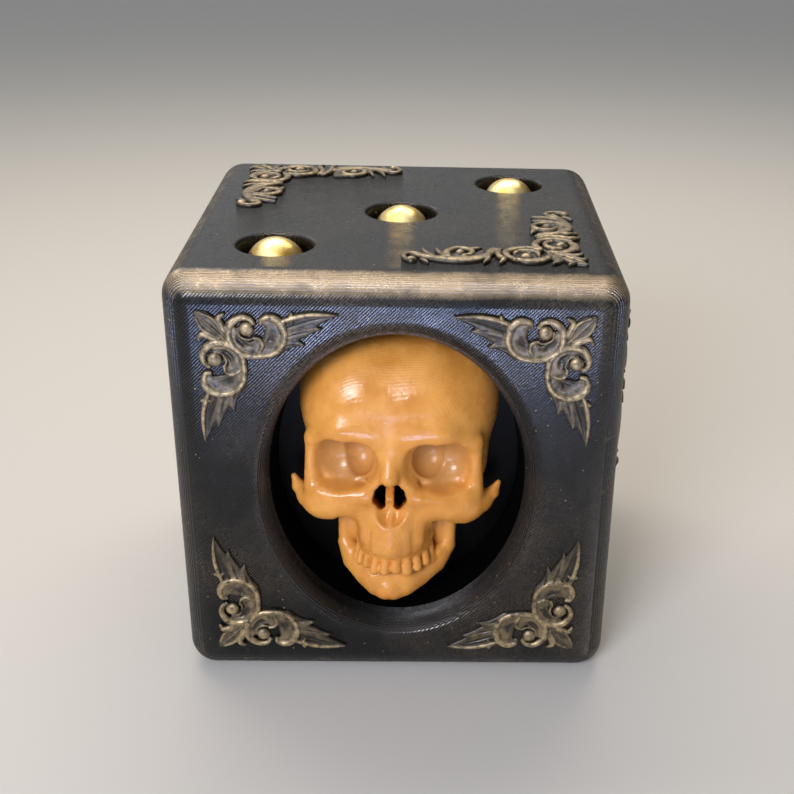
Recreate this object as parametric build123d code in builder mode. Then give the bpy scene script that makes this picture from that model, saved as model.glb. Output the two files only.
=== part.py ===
"""Die-shaped storage box with an oval skull window, sunk round pips and a hinged rear lid.

Frame: millimetres, +Z up, origin under the middle of the box on its resting plane.
The window faces -Y and the lid opens at +Y about an upright steel rod.
"""
from build123d import *
import os
from math import cos, degrees, radians, sin

# ---------------------------------------------------------------- driving sizes
box_size = 100.0            # edge length of the die
edge_radius = 6.4           # round on every outer edge
wall = 7.2                  # top, bottom and side walls of the store
cavity_corner = 3.0         # round along the inner corners of the store

window_side_margin = 20.5   # narrowest opening of the oval window to the sides of the box
window_end_margin = 13.7    # and to its top and bottom
skull_side_gap = 7.3        # that opening to the skull's temples
skull_end_gap = 4.5         # and to its crown and chin
skull_inset = 0.8           # foremost curve of the mask to the front of the box
skull_shift = -0.8          # the skull sits this far left of the middle

window_lip = 4.0            # round between the front face and the window wall
window_land = 1.0           # straight wall between that round and the tapering recess
recess_depth = 18.0         # front face to the plate behind the skull
recess_draft_x = 1.1        # how much each side of the oval closes in towards the plate
recess_draft_z = 2.5

plate_thickness = 3.0       # oval plate that carries the skull
plate_lap = 3.2             # how far the plate reaches behind the recess wall
plate_gap = 0.15            # glue gap around the plate
rim_bead_width = 0.5        # fine raised line around the plate
rim_bead_height = 0.35
rim_bead_inset = 0.1

collar_wall = 2.4           # wall of the collar around that plate
frame_gap = 0.1             # glue gap around the rear frame
frame_rim = 3.3             # rim of the rear frame around the square lid
lid_thickness = 8.0
lid_gap = 0.4               # gap around the lid
lid_rest_gap = 0.3          # gap between the lid and its ledge
lid_corner = 3.0            # round on the two free corners of the lid
lid_edge_break = 0.6        # chamfer around the lid's outer face
ledge_width = 7.4           # ledge that stops the lid
ledge_thickness = 4.0
mouth_corner = 4.0
jamb_round = 3.0            # room for the lid to swing past the frame
nail_notch_length = 18.0    # fingernail notch beside the free edge of the lid
nail_notch_width = 2.0
nail_notch_depth = 3.5

rod_diameter = 3.0          # hinge rod
rod_fit = 0.05              # radial gap between rod and frame
rod_running = 0.1           # radial gap between rod and lid
rod_end_gap = 0.2           # rod end to the wall of the store

magnet_diameter = 4.0       # closing magnets
magnet_thickness = 2.0
magnet_fit = 0.05
magnet_edge_distance = 3.6  # magnet centre to the free edge of the lid
magnet_spacing = 40.0       # distance between the upper and the lower pair

pip_edge_distance = 22.5    # edge of the box to the nearest row of pips
lid_pip_side_distance = 17.0    # the lid's two columns clear its half-round hinge edge
lid_pip_end_distance = 13.5     # and its outer rows clear its upper and lower edges
pip_bore_radius = 8.4       # seat of a pip
pip_lip = 1.0               # round on the rim of a seat
pip_depth = 5.6             # face to the floor of the seat
pip_ball_radius = 6.8
pip_rise = 1.4              # ball above the face
pip_sink = 0.3              # ball below the face on the underside
pip_stem_diameter = 3.0
pip_stem_length = 1.3
pip_stem_fit = 0.1
least_land = 0.3            # flat left between two rounds where they come close

relief_base = 0.7           # thickness of the leaves of a corner scroll
relief_rib = 1.5            # height of its ribs
front_rib = 0.046           # width of a rib as a share of the scroll's arm
long_rib = 0.033
scroll_margin = 8.0         # outer edge of a scroll to the edge of the box
front_scroll_gap = 13.6     # end of a scroll's arm to the middle of the face
long_scroll_gap = 2.8       # the same for the long scrolls on the top and the right side

face_stock = 1.0            # stock behind the plate's face, cut off flat afterwards
jaw_stock = 2.0
socket_front = 0.5          # the face is cut from this far in front of the box
peg_diameter = 5.0          # pegs that locate the skull on its plate
peg_length = 2.8
peg_fit = 0.1
peg_spacing = 26.0

# -------------------------------------------------------- proportions of the skull
# Places and sizes are shares of its width across, its height upwards and its depth
# forwards. Zero is the middle of the window and the front face of the plate.
socket_place = (0.259, 0.063)       # eye sockets
socket_opening = (0.315, 0.208)
socket_floor = (0.149, 0.094)
socket_lean = 0.05                  # they run back towards the middle
socket_bottom = 0.35
nose_bottom = 0.756
septum = 0.032                      # wall down the middle of the nose opening
nostril_place = (0.052, -0.038)
nostril_opening = (0.059, 0.088)
nostril_bottom = 0.2
bridge_width = 0.068
arch_middle = 0.407                 # arch that the upper teeth stand on
arch_half_width = 0.189
arch_reach = 0.547
tooth_count = 10
tooth_step = 15.0                   # degrees around the arch
tooth_tip = -0.346
tooth_length = 0.072
tooth_width = 0.043
tooth_thickness = 0.14
tooth_round = 0.011
hollow_place = (0.261, -0.23)       # dark hollows behind the upper jaw
hollow_opening = (0.054, 0.101)
hollow_bottom = 0.407
cheek_front = 0.523                 # front of the cheekbones' outer ends

# ------------------------------------------------------------- derived sizes
half = box_size / 2
mid = half                                   # height of the middle of the box
plate_front = -half + recess_depth           # y of the plate's front face
window_width = box_size - 2 * window_side_margin
window_height = box_size - 2 * window_end_margin
skull_width = window_width - 2 * skull_side_gap
skull_height = window_height - 2 * skull_end_gap
recess_rear_rx = window_width / 2 - recess_draft_x
recess_rear_rz = window_height / 2 - recess_draft_z
window_throat = window_lip + window_land
collar_rx = recess_rear_rx + plate_lap + collar_wall
collar_rz = recess_rear_rz + plate_lap + collar_wall
store_half = half - wall
frame_half = store_half - frame_gap
pocket_half = frame_half - frame_rim
lid_half = pocket_half - lid_gap
lid_size = 2 * lid_half
pip_spacing = half - pip_edge_distance
lid_pip_column = lid_half - lid_pip_side_distance
lid_pip_row = lid_half - lid_pip_end_distance
lid_lip = min(pip_lip, lid_pip_row / 2 - pip_bore_radius - least_land)
box_round = min(edge_radius, window_end_margin - window_lip - least_land)
skull_depth = recess_depth - skull_inset
reach = half - scroll_margin                 # outer edge of the scrolls
front_arm = reach - front_scroll_gap
long_arm = reach - long_scroll_gap
mouth_half = pocket_half - ledge_width
ledge_face = half - lid_thickness - lid_rest_gap
store_rear = ledge_face - ledge_thickness
hinge_x = -lid_half + lid_thickness / 2
hinge_y = half - lid_thickness / 2
rod_radius = rod_diameter / 2
rod_length = 2 * (store_half - rod_end_gap)
magnet_x = lid_half - magnet_edge_distance
stem_reach = pip_depth + pip_stem_length

os.makedirs("parts", exist_ok=True)


def save(part, name):
    """Label a finished piece and write it to its own file."""
    part.label = name
    export_step(part, f"parts/{name}.step")


# Each plane lies on one face of the die, looking at it from outside, with its
# origin in the middle of the face.
faces = {
    "front": Plane(origin=(0, -half, mid), x_dir=(1, 0, 0), z_dir=(0, -1, 0)),
    "rear": Plane(origin=(0, half, mid), x_dir=(-1, 0, 0), z_dir=(0, 1, 0)),
    "right": Plane(origin=(half, 0, mid), x_dir=(0, 1, 0), z_dir=(1, 0, 0)),
    "left": Plane(origin=(-half, 0, mid), x_dir=(0, -1, 0), z_dir=(-1, 0, 0)),
    "top": Plane(origin=(0, 0, box_size), x_dir=(1, 0, 0), z_dir=(0, 0, 1)),
    "bottom": Plane(origin=(0, 0, 0), x_dir=(1, 0, 0), z_dir=(0, 0, -1)),
}

# One skull stands for one pip on the front; the other faces count two to six.
corners = [(x, y) for x in (-pip_spacing, pip_spacing) for y in (-pip_spacing, pip_spacing)]
diagonal = [(-pip_spacing, -pip_spacing), (pip_spacing, pip_spacing)]
shell_pips = {
    "top": diagonal + [(0, 0)],
    "right": diagonal,
    "left": corners + [(0, 0)],
    "bottom": corners,
}
lid_pips = [(x, y) for x in (-lid_pip_column, lid_pip_column) for y in (-lid_pip_row, 0, lid_pip_row)]


def rim_edges(edges, plane, radius):
    """The circular edges of the given radius that lie on a plane."""
    rings = edges.filter_by(GeomType.CIRCLE)
    return [
        ring
        for ring in rings
        if abs(ring.radius - radius) < 0.01 and abs(plane.to_local_coords(ring.arc_center).Z) < 0.01
    ]


# ------------------------------------------------------------------ front wall
# The front of the cube, with an oval window in it. The recess behind the window
# tapers through this wall and on through the collar.
with BuildPart() as recess:
    with BuildSketch(faces["front"].offset(-window_throat)) as recess_front:
        Ellipse(window_width / 2, window_height / 2)
    with BuildSketch(faces["front"].offset(-recess_depth)) as recess_rear:
        Ellipse(recess_rear_rx, recess_rear_rz)
    loft()

with BuildPart() as front_wall:
    with BuildSketch(faces["front"]) as wall_outline:
        Rectangle(box_size, box_size)
    extrude(amount=-wall)
    front_face = front_wall.faces().sort_by(Axis.Y)[0]
    fillet(front_face.edges() + front_wall.edges().filter_by(Axis.Y), box_round)
    with BuildSketch(faces["front"]) as window_outline:
        Ellipse(window_width / 2, window_height / 2)
    extrude(amount=-window_throat, mode=Mode.SUBTRACT)
    front_face = front_wall.faces().filter_by(Axis.Y).sort_by(Axis.Y)[0]
    fillet(front_face.inner_wires().edges(), window_lip)
    add(recess.part, mode=Mode.SUBTRACT)
save(front_wall.part, "front_wall")

# ------------------------------------------------------------------ body shell
# The four walls around the store, glued behind the front wall and open at the back.
with BuildPart() as body_shell:
    with BuildSketch(faces["front"].offset(-wall)) as shell_outline:
        RectangleRounded(box_size, box_size, box_round)
        RectangleRounded(2 * store_half, 2 * store_half, cavity_corner, mode=Mode.SUBTRACT)
    extrude(amount=wall - box_size)
    rear_face = body_shell.faces().filter_by(Axis.Y).sort_by(Axis.Y)[-1]
    fillet(rear_face.outer_wire().edges(), box_round)

    # seats for the pips
    for face_name, spots in shell_pips.items():
        with BuildSketch(faces[face_name]) as seats:
            with Locations(*spots):
                Circle(pip_bore_radius)
        extrude(amount=-pip_depth, mode=Mode.SUBTRACT)
        fillet(rim_edges(body_shell.edges(Select.LAST), faces[face_name], pip_bore_radius), pip_lip)
        with BuildSketch(faces[face_name]) as stem_holes:
            with Locations(*spots):
                Circle(pip_stem_diameter / 2 + pip_stem_fit)
        extrude(amount=-(wall + pip_stem_fit), mode=Mode.SUBTRACT)
save(body_shell.part, "body_shell")

# --------------------------------------------------------------- window collar
# A smooth oval tube glued behind the front wall; the plate sits in its rear end.
with BuildPart() as window_collar:
    with BuildSketch(faces["front"].offset(-wall)) as collar_outline:
        Ellipse(collar_rx, collar_rz)
    extrude(amount=wall - recess_depth - plate_thickness)
    add(recess.part, mode=Mode.SUBTRACT)
    with BuildSketch(faces["front"].offset(-recess_depth)) as plate_seat:
        Ellipse(recess_rear_rx + plate_lap, recess_rear_rz + plate_lap)
    extrude(amount=-plate_thickness, mode=Mode.SUBTRACT)
save(window_collar.part, "window_collar")

# ------------------------------------------------------------------ rear frame
# A square frame glued into the open back. The lid lies in its pocket, against
# a ledge around the mouth of the store.
with BuildPart() as rear_frame:
    with BuildSketch(faces["rear"]) as frame_outline:
        RectangleRounded(2 * frame_half, 2 * frame_half, cavity_corner)
    extrude(amount=store_rear - half)
    with BuildSketch(faces["rear"]) as mouth_section:
        RectangleRounded(2 * mouth_half, 2 * mouth_half, mouth_corner)
    extrude(amount=store_rear - half, mode=Mode.SUBTRACT)
    with BuildSketch(faces["rear"]) as pocket_section:
        Rectangle(2 * pocket_half, 2 * pocket_half)
        free_corners = pocket_section.vertices().group_by(Axis.X)[0]
        fillet(free_corners, lid_corner + lid_gap)
    extrude(amount=ledge_face - half, mode=Mode.SUBTRACT)
    rear_face = rear_frame.faces().filter_by(Axis.Y).sort_by(Axis.Y)[-1]
    jamb_edge = rear_face.inner_wires().edges().filter_by(Axis.Z).sort_by(Axis.X)[0]
    fillet(jamb_edge, jamb_round)

    # fingernail notch beside the free edge
    with BuildSketch(faces["rear"]) as notch_section:
        with Locations((-(pocket_half + nail_notch_width / 2), 0)):
            Rectangle(nail_notch_width, nail_notch_length)
    extrude(amount=-nail_notch_depth, mode=Mode.SUBTRACT)

    # bore for the hinge rod through the upper and the lower rim
    with BuildSketch(Plane.XY) as rod_bore:
        with Locations((hinge_x, hinge_y)):
            Circle(rod_radius + rod_fit)
    extrude(amount=box_size, mode=Mode.SUBTRACT)

    # magnet seats in the ledge
    with BuildSketch(faces["rear"].offset(ledge_face - half)) as magnet_seats:
        with Locations((-magnet_x, -magnet_spacing / 2), (-magnet_x, magnet_spacing / 2)):
            Circle(magnet_diameter / 2 + magnet_fit)
    extrude(amount=-magnet_thickness, mode=Mode.SUBTRACT)
save(rear_frame.part, "rear_frame")

# -------------------------------------------------------------- skull backplate
# An oval plate glued in from behind; a fine raised line runs around its face.
with BuildPart() as skull_backplate:
    with BuildSketch(faces["front"].offset(-recess_depth)) as plate_outline:
        Ellipse(recess_rear_rx + plate_lap - plate_gap, recess_rear_rz + plate_lap - plate_gap)
    extrude(amount=-plate_thickness)
    with BuildSketch(faces["front"].offset(-recess_depth)) as bead_outline:
        Ellipse(recess_rear_rx - rim_bead_inset, recess_rear_rz - rim_bead_inset)
        inner_inset = rim_bead_inset + rim_bead_width
        Ellipse(recess_rear_rx - inner_inset, recess_rear_rz - inner_inset, mode=Mode.SUBTRACT)
    extrude(amount=rim_bead_height)
    with BuildSketch(faces["front"].offset(-recess_depth)) as peg_holes:
        with Locations((0, -peg_spacing / 2), (0, peg_spacing / 2)):
            Circle(peg_diameter / 2 + peg_fit)
    extrude(amount=-plate_thickness, mode=Mode.SUBTRACT)
save(skull_backplate.part, "skull_backplate")

# ------------------------------------------------------------------------- lid
# A square panel with a half-round hinge edge, six sunk pips and two magnets.
with BuildPart() as lid:
    with BuildSketch(Plane.XY.offset(mid - lid_half)) as lid_profile:
        with Locations(((hinge_x + lid_half) / 2, hinge_y)):
            Rectangle(lid_half - hinge_x, lid_thickness)
        with Locations((hinge_x, hinge_y)):
            Circle(lid_thickness / 2)
    extrude(amount=lid_size)
    free_edges = lid.edges().filter_by(Axis.Y).group_by(Axis.X)[-1]
    fillet(free_edges, lid_corner)
    outer_face = lid.faces().filter_by(Axis.Y).sort_by(Axis.Y)[-1]
    chamfer(outer_face.edges().filter_by(lambda edge: edge.center().X > 0), lid_edge_break)
    with BuildSketch(faces["rear"]) as lid_seats:
        with Locations(*lid_pips):
            Circle(pip_bore_radius)
    extrude(amount=-pip_depth, mode=Mode.SUBTRACT)
    fillet(rim_edges(lid.edges(Select.LAST), faces["rear"], pip_bore_radius), lid_lip)
    with BuildSketch(faces["rear"]) as lid_stem_holes:
        with Locations(*lid_pips):
            Circle(pip_stem_diameter / 2 + pip_stem_fit)
    extrude(amount=-(stem_reach + pip_stem_fit), mode=Mode.SUBTRACT)
    with BuildSketch(Plane.XY.offset(mid - lid_half)) as lid_bore:
        with Locations((hinge_x, hinge_y)):
            Circle(rod_radius + rod_running)
    extrude(amount=lid_size, mode=Mode.SUBTRACT)
    with BuildSketch(faces["rear"].offset(-lid_thickness)) as lid_magnet_seats:
        with Locations((-magnet_x, -magnet_spacing / 2), (-magnet_x, magnet_spacing / 2)):
            Circle(magnet_diameter / 2 + magnet_fit)
    extrude(amount=magnet_thickness, mode=Mode.SUBTRACT)
save(lid.part, "lid")

# ------------------------------------------------------------------- hinge rod
# One steel rod through the whole lid, held in the rims of the rear frame.
with BuildPart() as hinge_rod:
    with BuildSketch(Plane.XY.offset(mid - rod_length / 2)) as rod_section:
        with Locations((hinge_x, hinge_y)):
            Circle(rod_radius)
    extrude(amount=rod_length)
    chamfer(hinge_rod.edges().filter_by(GeomType.CIRCLE), rod_radius / 5)
save(hinge_rod.part, "hinge_rod")

# --------------------------------------------------------------------- magnets
# Two discs in the ledge face two discs in the lid and hold it shut.
magnet_ends = {"frame": ledge_face - magnet_thickness, "lid": half - lid_thickness}
magnet_rows = {"lower": mid - magnet_spacing / 2, "upper": mid + magnet_spacing / 2}
for side, start in magnet_ends.items():
    for row, height in magnet_rows.items():
        with BuildPart() as magnet:
            with BuildSketch(Plane.XZ.offset(-start)) as magnet_face:
                with Locations((magnet_x, height)):
                    Circle(magnet_diameter / 2)
            extrude(amount=-magnet_thickness)
        save(magnet.part, f"magnet_{side}_{row}")


# ------------------------------------------------------------------------ pips
def make_pip(plane, spot, rise):
    """A ball head that fills its seat, with a stem that is glued into the stem hole."""
    with BuildPart() as pip:
        with BuildSketch(Plane.XZ) as pip_profile:
            with Locations((0, rise - pip_ball_radius)):
                Circle(pip_ball_radius)
            with Locations((0, -pip_depth)):
                Rectangle(4 * pip_ball_radius, 2 * pip_ball_radius, align=(Align.CENTER, Align.MAX),
                          mode=Mode.SUBTRACT)
            with Locations((0, -pip_depth)):
                Rectangle(pip_stem_diameter, pip_stem_length, align=(Align.CENTER, Align.MAX))
            Rectangle(2 * pip_ball_radius, 4 * pip_ball_radius, align=(Align.MAX, Align.CENTER),
                      mode=Mode.SUBTRACT)
        revolve(axis=Axis.Z)
    return plane.location * Pos(spot[0], spot[1], 0) * pip.part


for face_name, spots in shell_pips.items():
    rise = -pip_sink if face_name == "bottom" else pip_rise
    for count, spot in enumerate(spots, start=1):
        save(make_pip(faces[face_name], spot, rise), f"pip_{face_name}_{count}")
for count, spot in enumerate(lid_pips, start=1):
    save(make_pip(faces["rear"], spot, pip_rise), f"pip_lid_{count}")


# ----------------------------------------------------------------------- skull
def on_face(across, up):
    """A point of the skull as seen from the front."""
    return (skull_shift + across * skull_width, up * skull_height)


def forward(share):
    """A plane parallel to the plate, that share of the skull's depth in front of it."""
    return faces["front"].offset(share * skull_depth - recess_depth)


def oval(opening):
    """An ellipse whose width and height are shares of the skull's."""
    Ellipse(opening[0] * skull_width / 2, opening[1] * skull_height / 2)


def both_sides(place):
    """The same place on the right and on the left of the skull."""
    return [on_face(place[0], place[1]), on_face(-place[0], place[1])]


def mask_outline(up, half_width, bow, stock):
    """Outline of the skull at one height, bowed to the front, with spare stock behind it."""
    back = plate_front + stock
    side = half_width * skull_width
    front = plate_front - bow * skull_depth
    quarter = (0.7 * front + 0.3 * plate_front, 0.86 * side)
    with BuildSketch(Plane.XY.offset(mid + up * skull_height)) as outline:
        with BuildLine():
            Line((skull_shift - side, back), (skull_shift + side, back))
            Spline(
                (skull_shift + side, back),
                (skull_shift + quarter[1], quarter[0]),
                (skull_shift, front),
                (skull_shift - quarter[1], quarter[0]),
                (skull_shift - side, back),
            )
        make_face()
    return outline.sketch.face()


# height, half width and how far the outline bows forwards
vault_and_face = [
    (-0.330, 0.194, 0.965),
    (-0.236, 0.225, 1.000),
    (-0.173, 0.315, 0.977),
    (-0.110, 0.428, 0.919),
    (0.000, 0.459, 0.907),
    (0.110, 0.468, 0.953),
    (0.220, 0.500, 0.965),
    (0.330, 0.459, 0.884),
    (0.425, 0.338, 0.698),
    (0.480, 0.212, 0.442),
    (0.506, 0.090, 0.174),
]
jaw = [
    (-0.494, 0.104, 0.872),
    (-0.456, 0.167, 0.953),
    (-0.377, 0.257, 0.872),
    (-0.283, 0.320, 0.733),
    (-0.189, 0.342, 0.581),
    (-0.126, 0.347, 0.488),
]
with BuildPart() as skull:
    loft([mask_outline(*level, face_stock) for level in vault_and_face])
    loft([mask_outline(*level, jaw_stock) for level in jaw])
    with BuildSketch(forward(0)) as flat_back:
        Rectangle(box_size, box_size)
    extrude(amount=-2 * jaw_stock, mode=Mode.SUBTRACT)

    # cheekbones, cut off behind the upturned start of each arch
    with BuildSketch(forward(0)) as cheekbones:
        with BuildLine():
            Spline(
                on_face(0.270, -0.173),
                on_face(0.428, -0.179),
                on_face(0.527, -0.138),
                on_face(0.572, -0.069),
            )
            Line(on_face(0.572, -0.069), on_face(0.554, -0.060))
            Spline(
                on_face(0.554, -0.060),
                on_face(0.500, -0.097),
                on_face(0.459, -0.031),
                on_face(0.270, -0.031),
            )
            Line(on_face(0.270, -0.031), on_face(0.270, -0.173))
        make_face()
        mirror(about=Plane.YZ.offset(skull_shift))
    extrude(amount=cheek_front * skull_depth)

    # eye sockets, narrowing as they go back
    for side in (-1, 1):
        with BuildSketch(faces["front"].offset(socket_front)) as socket_rim:
            with Locations(on_face(side * socket_place[0], socket_place[1])):
                oval(socket_opening)
        with BuildSketch(forward(socket_bottom)) as socket_end:
            with Locations(on_face(side * (socket_place[0] - socket_lean), socket_place[1])):
                oval(socket_floor)
        loft(mode=Mode.SUBTRACT)

    # pear-shaped nose opening with its wall down the middle
    with BuildSketch(forward(nose_bottom)) as nose_opening:
        with BuildLine():
            Spline(
                on_face(0.000, 0.028),
                on_face(0.054, -0.038),
                on_face(0.081, -0.110),
                on_face(0.041, -0.148),
                on_face(0.000, -0.135),
            )
            mirror(about=Plane.YZ.offset(skull_shift))
        make_face()
        with Locations((skull_shift, 0)):
            Rectangle(septum * skull_width, skull_height, mode=Mode.SUBTRACT)
    extrude(amount=skull_depth, mode=Mode.SUBTRACT)
    with BuildSketch(forward(nostril_bottom)) as nostrils:
        with Locations(*both_sides(nostril_place)):
            oval(nostril_opening)
    extrude(amount=skull_depth, mode=Mode.SUBTRACT)

    # bridge of the nose
    with BuildSketch(Plane.YZ.offset(skull_shift - bridge_width * skull_width / 2)) as bridge_side:
        with BuildLine():
            Polyline(
                (plate_front - 0.698 * skull_depth, mid + 0.173 * skull_height),
                (plate_front - 0.942 * skull_depth, mid + 0.157 * skull_height),
                (plate_front - 1.070 * skull_depth, mid + 0.025 * skull_height),
                (plate_front - 0.698 * skull_depth, mid + 0.047 * skull_height),
                close=True,
            )
        make_face()
    extrude(amount=bridge_width * skull_width)

    # upper teeth around the arch of the jaw
    with BuildSketch(Plane.XY.offset(mid + tooth_tip * skull_height)) as teeth:
        for count in range(tooth_count):
            turn = radians(tooth_step * (count - (tooth_count - 1) / 2))
            tooth_x = skull_shift + arch_half_width * skull_width * sin(turn)
            tooth_y = plate_front - (arch_middle + arch_reach * cos(turn)) * skull_depth
            with Locations(Location((tooth_x, tooth_y), degrees(turn))):
                RectangleRounded(
                    tooth_width * skull_width,
                    tooth_thickness * skull_depth,
                    tooth_round * skull_width,
                )
    extrude(amount=tooth_length * skull_height)

    # hollows between the upper jaw and the branches of the lower one
    with BuildSketch(forward(hollow_bottom)) as jaw_hollows:
        with Locations(*both_sides(hollow_place)):
            oval(hollow_opening)
    extrude(amount=skull_depth, mode=Mode.SUBTRACT)

    # pegs in the plate
    with BuildSketch(forward(0)) as pegs:
        with Locations((0, -peg_spacing / 2), (0, peg_spacing / 2)):
            Circle(peg_diameter / 2)
    extrude(amount=-peg_length)
save(skull.part, "skull")


# --------------------------------------------------------------- corner scrolls
# A scroll is drawn in the upper right quarter of a face, as one arm along the
# upper edge and its mirror image across the diagonal, then flipped to its corner.
# Points are shares of the arm's length, measured back from the outer corner.
def from_corner(arm, back, down):
    """A point of a scroll that is drawn in the upper right quarter."""
    return (reach - back * arm, reach - down * arm)


def volute(arm, rib, centre, radius, start, turn, shrink, windings):
    """Half circles that wind inwards, each one smaller than the last."""
    with BuildSketch() as spiral:
        with BuildLine():
            x, y = from_corner(arm, *centre)
            ring = radius * arm
            angle = start
            for _ in range(windings):
                CenterArc((x, y), ring, angle, turn)
                step = ring * (1 - shrink)
                x -= step * cos(radians(angle))
                y -= step * sin(radians(angle))
                ring *= shrink
                angle += turn
        trace(line_width=rib * arm)
    return spiral.sketch


def leaf(arm, *places):
    """A pointed leaf through the given places."""
    points = [from_corner(arm, *place) for place in places]
    with BuildSketch() as blade:
        with BuildLine():
            Spline(*points)
            Line(points[-1], points[0])
        make_face()
    return blade.sketch


def both_arms(arm_sketch):
    """One arm and its mirror image across the diagonal."""
    diagonal_plane = Plane(origin=(0, 0, 0), x_dir=(1, 1, 0), z_dir=(1, -1, 0))
    return arm_sketch + mirror(arm_sketch, about=diagonal_plane)


upper_ribs = both_arms(
    volute(front_arm, front_rib, (0.380, 0.169), 0.148, -90, 180, 0.6, 3)
    + volute(front_arm, front_rib, (0.542, 0.155), 0.120, -90, -180, 0.55, 2)
)
upper_leaves = both_arms(
    leaf(front_arm, (0.599, 0.303), (0.754, 0.310), (0.873, 0.197), (1.000, 0.028))
    + leaf(front_arm, (0.218, 0.218), (0.127, 0.155), (0.028, 0.028))
)
lower_ribs = both_arms(
    volute(front_arm, front_rib, (0.423, 0.197), 0.169, 150, 180, 0.86, 2)
    + volute(front_arm, front_rib, (0.437, 0.225), 0.077, 20, 180, 0.6, 2)
)
lower_leaves = both_arms(
    leaf(front_arm, (0.585, 0.261), (0.775, 0.246), (0.901, 0.155), (1.000, 0.028))
    + leaf(front_arm, (0.204, 0.204), (0.120, 0.162), (0.042, 0.042))
)
long_ribs = both_arms(
    volute(long_arm, long_rib, (0.347, 0.148), 0.128, 90, 180, 0.6, 3)
    + volute(long_arm, long_rib, (0.714, 0.133), 0.097, -90, 180, 0.6, 3)
    + volute(long_arm, long_rib, (0.934, 0.102), 0.066, 90, 180, 0.6, 2)
)
long_leaves = both_arms(
    leaf(long_arm, (0.357, 0.020), (0.561, 0.092), (0.765, 0.026), (0.918, 0.031))
    + leaf(long_arm, (0.230, 0.102), (0.112, 0.087), (0.026, 0.026))
)


def save_scroll(name, plane, ribs, leaves, flip_x, flip_y):
    """Raise one scroll on a face, flipped to its corner."""
    if flip_x:
        ribs = mirror(ribs, about=Plane.YZ)
        leaves = mirror(leaves, about=Plane.YZ)
    if flip_y:
        ribs = mirror(ribs, about=Plane.XZ)
        leaves = mirror(leaves, about=Plane.XZ)
    with BuildPart() as scroll:
        with BuildSketch(plane):
            add(leaves)
        extrude(amount=relief_base)
        with BuildSketch(plane):
            add(ribs)
        extrude(amount=relief_rib)
    save(scroll.part, name)


save_scroll("scroll_front_top_left", faces["front"], upper_ribs, upper_leaves, True, False)
save_scroll("scroll_front_top_right", faces["front"], upper_ribs, upper_leaves, False, False)
save_scroll("scroll_front_bottom_left", faces["front"], lower_ribs, lower_leaves, True, True)
save_scroll("scroll_front_bottom_right", faces["front"], lower_ribs, lower_leaves, False, True)
save_scroll("scroll_top_front_right", faces["top"], long_ribs, long_leaves, False, True)
save_scroll("scroll_top_back_left", faces["top"], long_ribs, long_leaves, True, False)
save_scroll("scroll_right_front_top", faces["right"], long_ribs, long_leaves, True, False)
save_scroll("scroll_right_back_bottom", faces["right"], long_ribs, long_leaves, False, True)
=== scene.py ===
"""Dice box with a skull behind an oval window, sunk gold pips and a hinged rear lid: its looks.

Metres, in the same frame as the solids: the window faces -Y, +Z is up.
"""

from math import cos, pi, radians, sin

import bpy
import numpy as np
from mathutils import Matrix, Vector


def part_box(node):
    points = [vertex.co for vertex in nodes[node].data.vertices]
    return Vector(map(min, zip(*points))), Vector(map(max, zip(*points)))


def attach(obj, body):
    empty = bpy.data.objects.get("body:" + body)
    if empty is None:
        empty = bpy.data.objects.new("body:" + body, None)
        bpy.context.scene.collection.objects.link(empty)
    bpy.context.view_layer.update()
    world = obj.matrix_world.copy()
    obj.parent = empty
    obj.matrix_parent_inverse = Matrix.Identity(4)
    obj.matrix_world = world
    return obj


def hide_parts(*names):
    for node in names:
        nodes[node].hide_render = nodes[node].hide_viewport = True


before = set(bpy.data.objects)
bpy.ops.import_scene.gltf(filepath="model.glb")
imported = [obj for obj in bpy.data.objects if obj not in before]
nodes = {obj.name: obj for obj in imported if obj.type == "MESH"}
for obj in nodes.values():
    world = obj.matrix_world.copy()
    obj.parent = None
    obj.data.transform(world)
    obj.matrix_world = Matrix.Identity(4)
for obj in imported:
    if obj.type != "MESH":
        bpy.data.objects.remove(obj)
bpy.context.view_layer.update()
mm = 0.001

# ------------------------------------------------------------ shell and lid
# The cube is printed in black PLA with its window upwards, so every side shows
# layer lines that run round the window axis, and the front shows the slanting
# strokes of the last layer. Bronze paint is worn onto its edges, and edges that
# face up and to the front get more of it as painted light.
box_low, box_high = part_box("body_shell")
half = (box_high.z - box_low.z) / 2
layer_height = 0.4 * mm      # really 0.2 mm, drawn twice as coarse so that it shows
stroke_width = 0.55 * mm     # really 0.45 mm, a little coarser for the same reason
# distances from the cube's middle
wear_start, wear_full = 43.4 * mm, 46.2 * mm       # across an edge, where paint starts and is full
front_start, front_full = 49.0 * mm, 49.8 * mm     # forward, where strokes take over from layers


def colour(code):
    """An sRGB hex value as the linear colour that a shader takes."""
    channels = [int(code[i:i + 2], 16) / 255 for i in (1, 3, 5)]
    return [c / 12.92 if c <= 0.04045 else ((c + 0.055) / 1.055) ** 2.4 for c in channels] + [1]


def add(owner, kind, inputs=(), out=0, **settings):
    """Adds a shader node and gives one of its outputs. An input is a value or such an output.

    MapRange takes the value as 0, its range as 1 and 2 and the new range as 3 and 4. Mix takes
    its share as 0 and two numbers as 2 and 3, or two colours as 6 and 7.
    """
    new = owner.node_tree.nodes.new("ShaderNode" + kind)
    for name, value in settings.items():
        setattr(new, name, value)
    for socket, value in dict(inputs).items():
        if isinstance(value, bpy.types.NodeSocket):
            owner.node_tree.links.new(value, new.inputs[socket])
        else:
            new.inputs[socket].default_value = value
    return new.outputs[out]


def begin(name):
    """A new material, its shader and the place that its patterns are measured in."""
    material = bpy.data.materials.new(name)
    material.use_nodes = True
    principled = material.node_tree.nodes["Principled BSDF"]
    return material, principled, add(material, "TexCoord", out="Object")


def join(material, shader, patterns):
    """Feeds patterns into the shader's sockets."""
    for socket, output in patterns.items():
        material.node_tree.links.new(output, shader.inputs[socket])


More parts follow.
